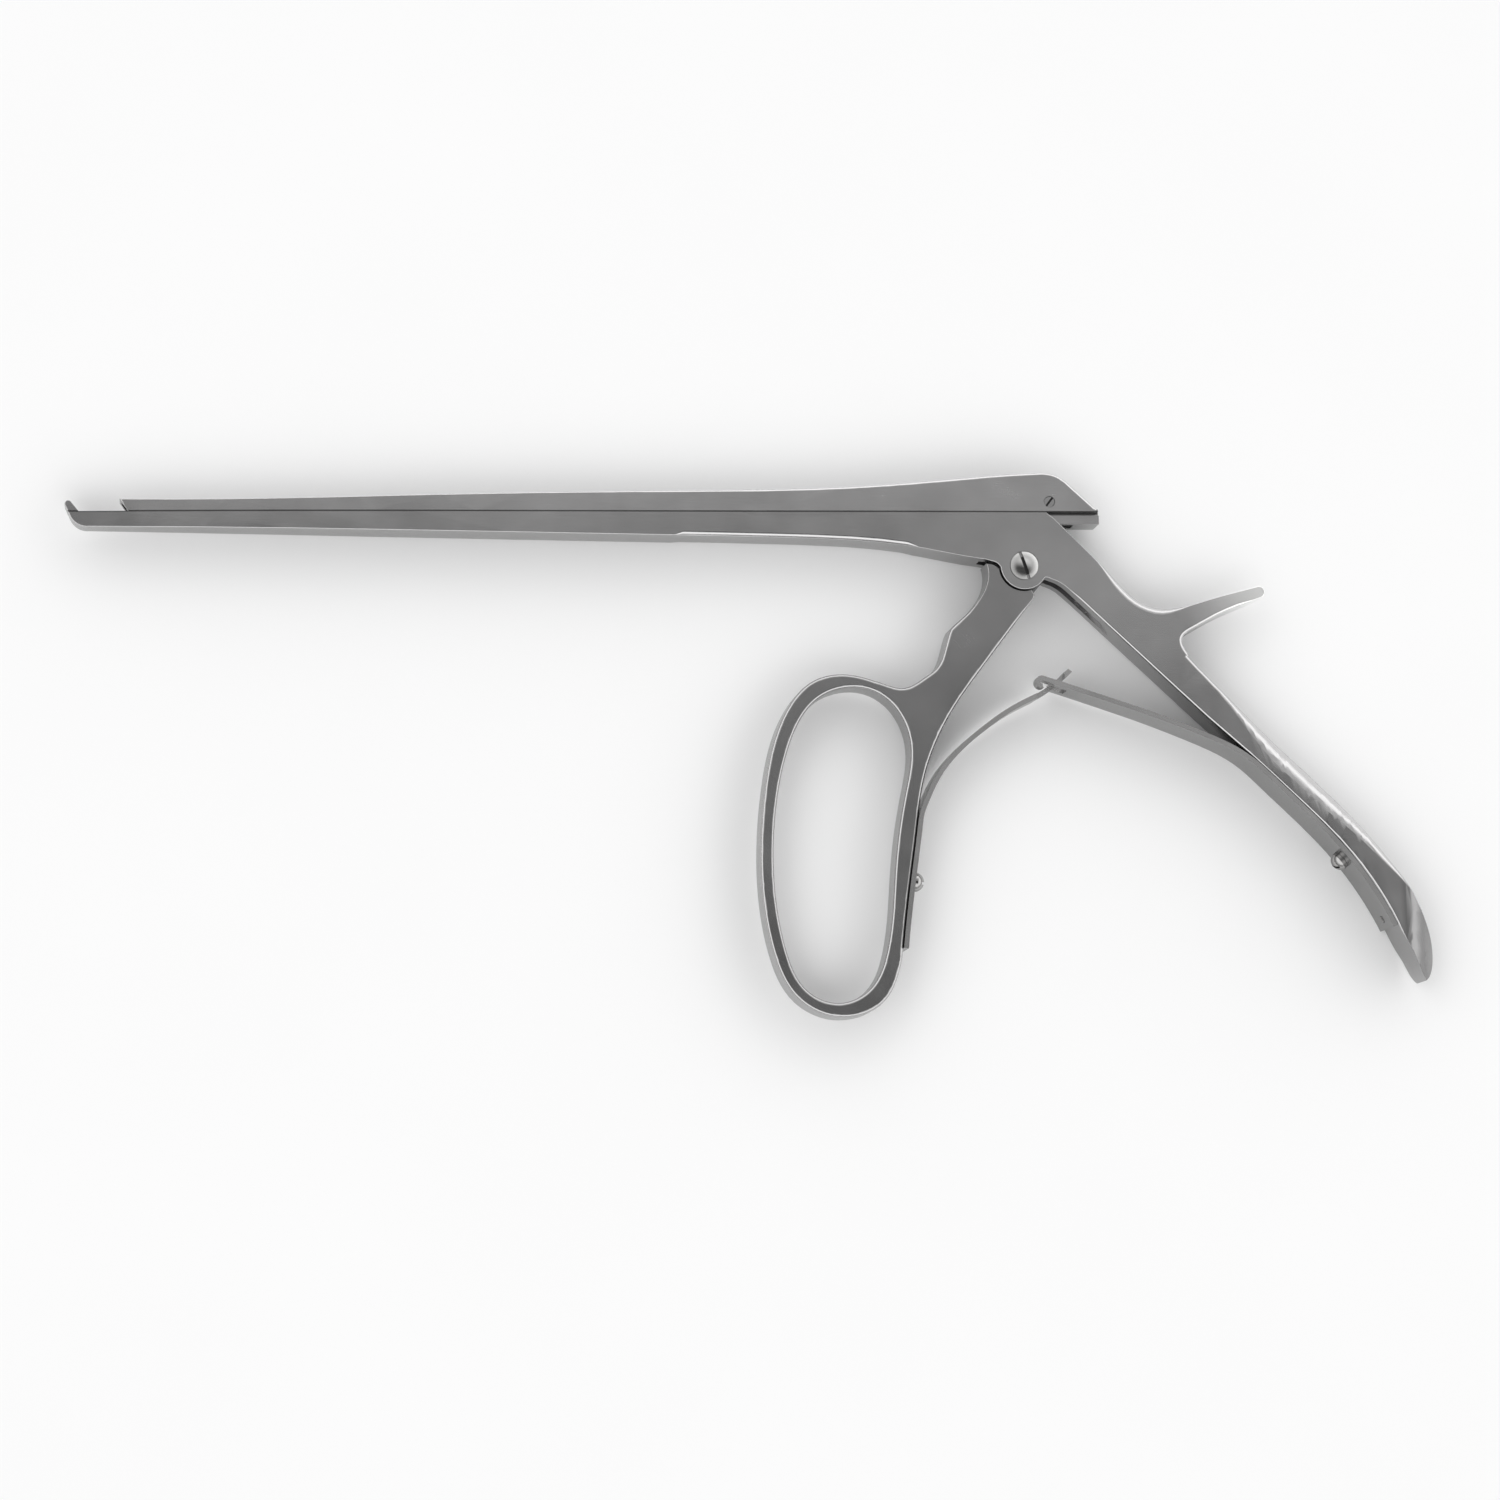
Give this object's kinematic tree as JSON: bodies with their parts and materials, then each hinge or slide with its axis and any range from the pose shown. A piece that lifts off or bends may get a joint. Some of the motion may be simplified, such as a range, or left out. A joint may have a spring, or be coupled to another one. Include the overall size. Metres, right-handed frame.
{
  "type": "bone rongeur",
  "caption": "Sliding-shaft bone rongeur with a footplate jaw, a palm handle with a spur, a ring handle and interlocking leaf springs.",
  "frame": {"origin": "on the pivot's axis, at the outer face of the lower cheek, where the pivot screw ends flush", "axes": "+X backwards along the shaft from the footplate to the handles, +Y up in the hand from the handles to the slide, +Z along the pivot's axis to the screw's head"},
  "size_m": [0.2667, 0.1073, 0.011],
  "materials": {
    "satin_steel": "satin",
    "bright_steel": "polished",
    "spring_steel": "satin"
  },
  "bodies": {
    "frame": {"frame": "satin_steel", "pivot_screw": "bright_steel", "rear_spring_screw": "bright_steel", "rear_spring_pin": "bright_steel"},
    "front_handle": {"front_handle": "satin_steel", "front_spring_screw": "bright_steel", "front_spring_pin": "bright_steel"},
    "slide": {"slide": "satin_steel", "drive_pin": "satin_steel"},
    "front_spring": {"front_spring": "spring_steel"},
    "rear_spring": {"rear_spring": "spring_steel"}
  },
  "joints": [
    {"name": "handle_squeeze", "type": "hinge", "parent": "frame", "child": "front_handle", "pos_m": [0, 0, 0], "axis": [0, 0, 1], "range_deg": [0, 40.83], "stiffness_Nm_per_rad": 1, "springref_deg": -17.19},
    {"name": "slide_travel", "type": "slide", "parent": "frame", "child": "slide", "axis": [-1, 0, 0], "range_m": [0, 0.00955]},
    {"name": "front_spring_flex", "type": "hinge", "parent": "front_handle", "child": "front_spring", "pos_m": [-0.0219, -0.0501, 0.0044], "axis": [0, 0, 1], "range_deg": [0, 15.8], "deforming": ["front_spring"]},
    {"name": "rear_spring_flex", "type": "hinge", "parent": "frame", "child": "rear_spring", "pos_m": [0.0206, -0.0305, 0.0044], "axis": [0, 0, 1], "range_deg": [-23.7, 0], "deforming": ["rear_spring"]}
  ],
  "couplings": [
    {"joint": "slide_travel", "follows": "handle_squeeze", "m_per_rad": 0.013401},
    {"joint": "front_spring_flex", "follows": "handle_squeeze", "ratio": 0.387},
    {"joint": "rear_spring_flex", "follows": "handle_squeeze", "ratio": -0.58}
  ]
}
